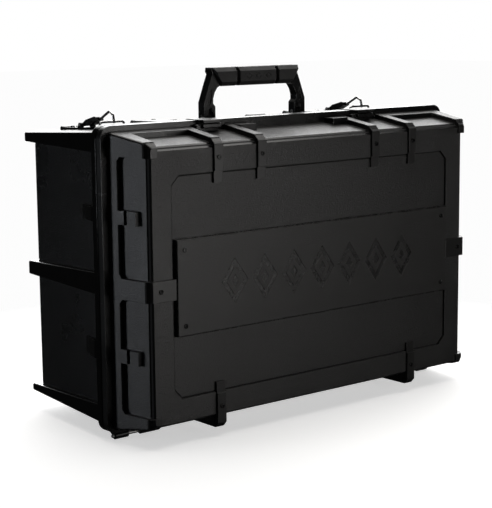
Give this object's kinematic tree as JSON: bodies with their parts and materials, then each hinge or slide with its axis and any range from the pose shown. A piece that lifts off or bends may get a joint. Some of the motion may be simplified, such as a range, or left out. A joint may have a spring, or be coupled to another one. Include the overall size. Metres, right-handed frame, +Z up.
{
  "type": "miniature carry case",
  "caption": "Hard plastic carry case for tabletop miniatures: two hinged shell halves with foam pockets, top latches, folding bail handle and hooked metal strap clips.",
  "frame": {"origin": "on the standing surface, under the middle of the whole case's width and depth", "axes": "+Z up as the case stands on its long edge; -Y the front, which is the lid's face; X along the width, with +X to the right seen from the front"},
  "size_m": [0.46, 0.211, 0.3533],
  "materials": {
    "shell": "near-black moulded plastic with a fine grain, satin",
    "plate": "near-black moulded plastic plate, slightly smoother, worn edges",
    "handle": "near-black moulded plastic, satin",
    "grip": "near-black soft rubber sleeve",
    "latch": "near-black tough plastic, satin",
    "fastener": "black oxide screw, satin",
    "blackened": "black enamelled steel, semi-gloss, wear on the edges",
    "plated": "plated steel wire, polished, slightly scuffed",
    "steel": "drawn steel pin",
    "pad": "dark grey rubber foot pad",
    "foam": "charcoal open-cell foam"
  },
  "bodies": {
    "base": {"tub_shell": "shell", "tub_foam": "foam", "rear_foot_left": "shell", "rear_foot_right": "shell", "foot_pad_left": "pad", "foot_pad_right": "pad", "hinge_tub_leaf_left": "blackened", "hinge_tub_leaf_right": "blackened", "hinge_pin_left": "steel", "hinge_pin_right": "steel", "handle_lug_left": "handle", "handle_lug_right": "handle", "handle_stop_left": "handle", "handle_stop_right": "handle", "latch_bracket_left": "latch", "latch_bracket_right": "latch", "clip_plate_left": "blackened", "clip_plate_right": "blackened", "clip_rivet_left_1": "plated", "clip_rivet_left_2": "plated", "clip_rivet_right_1": "plated", "clip_rivet_right_2": "plated", "clip_pin_left": "steel", "clip_pin_right": "steel", "strap_staple_left": "plated", "strap_staple_right": "plated"},
    "lid": {"lid_shell": "shell", "lid_foam": "foam", "front_plate": "plate", "plate_screw_1": "fastener", "plate_screw_2": "fastener", "plate_screw_3": "fastener", "plate_screw_4": "fastener", "strap_screw_1": "fastener", "strap_screw_2": "fastener", "strap_screw_3": "fastener", "strap_screw_4": "fastener", "strap_screw_5": "fastener", "strap_screw_6": "fastener", "strap_screw_7": "fastener", "strap_screw_8": "fastener", "hinge_lid_leaf_left": "blackened", "hinge_lid_leaf_right": "blackened", "catch_left": "latch", "catch_right": "latch"},
    "handle": {"handle_frame": "handle", "grip_segment_1": "grip", "grip_segment_2": "grip", "grip_segment_3": "grip", "handle_pin_left": "steel", "handle_pin_right": "steel"},
    "latch_left": {"latch_arm_left": "latch", "latch_pin_left": "steel"},
    "latch_right": {"latch_arm_right": "latch", "latch_pin_right": "steel"},
    "clip_left": {"clip_body_left": "blackened", "clip_hook_left": "plated"},
    "clip_right": {"clip_body_right": "blackened", "clip_hook_right": "plated"}
  },
  "joints": [
    {"name": "lid_hinge", "type": "hinge", "parent": "base", "child": "lid", "pos_m": [0, -0.04245, 0.0036], "axis": [1, 0, 0], "range_deg": [0, 180]},
    {"name": "handle_fold", "type": "hinge", "parent": "base", "child": "handle", "pos_m": [0, 0.00355, 0.3036], "axis": [-1, 0, 0], "range_deg": [0, 80]},
    {"name": "latch_lift_left", "type": "hinge", "parent": "base", "child": "latch_left", "pos_m": [-0.104, 0.05655, 0.29695], "axis": [-1, 0, 0], "range_deg": [0, 100]},
    {"name": "latch_lift_right", "type": "hinge", "parent": "base", "child": "latch_right", "pos_m": [0.104, 0.05655, 0.29695], "axis": [-1, 0, 0], "range_deg": [0, 100]},
    {"name": "clip_lift_left", "type": "hinge", "parent": "base", "child": "clip_left", "pos_m": [-0.1695, 0.06355, 0.2982], "axis": [-1, 0, 0], "range_deg": [0, 90]},
    {"name": "clip_lift_right", "type": "hinge", "parent": "base", "child": "clip_right", "pos_m": [0.1695, 0.06355, 0.2982], "axis": [-1, 0, 0], "range_deg": [0, 90]}
  ]
}
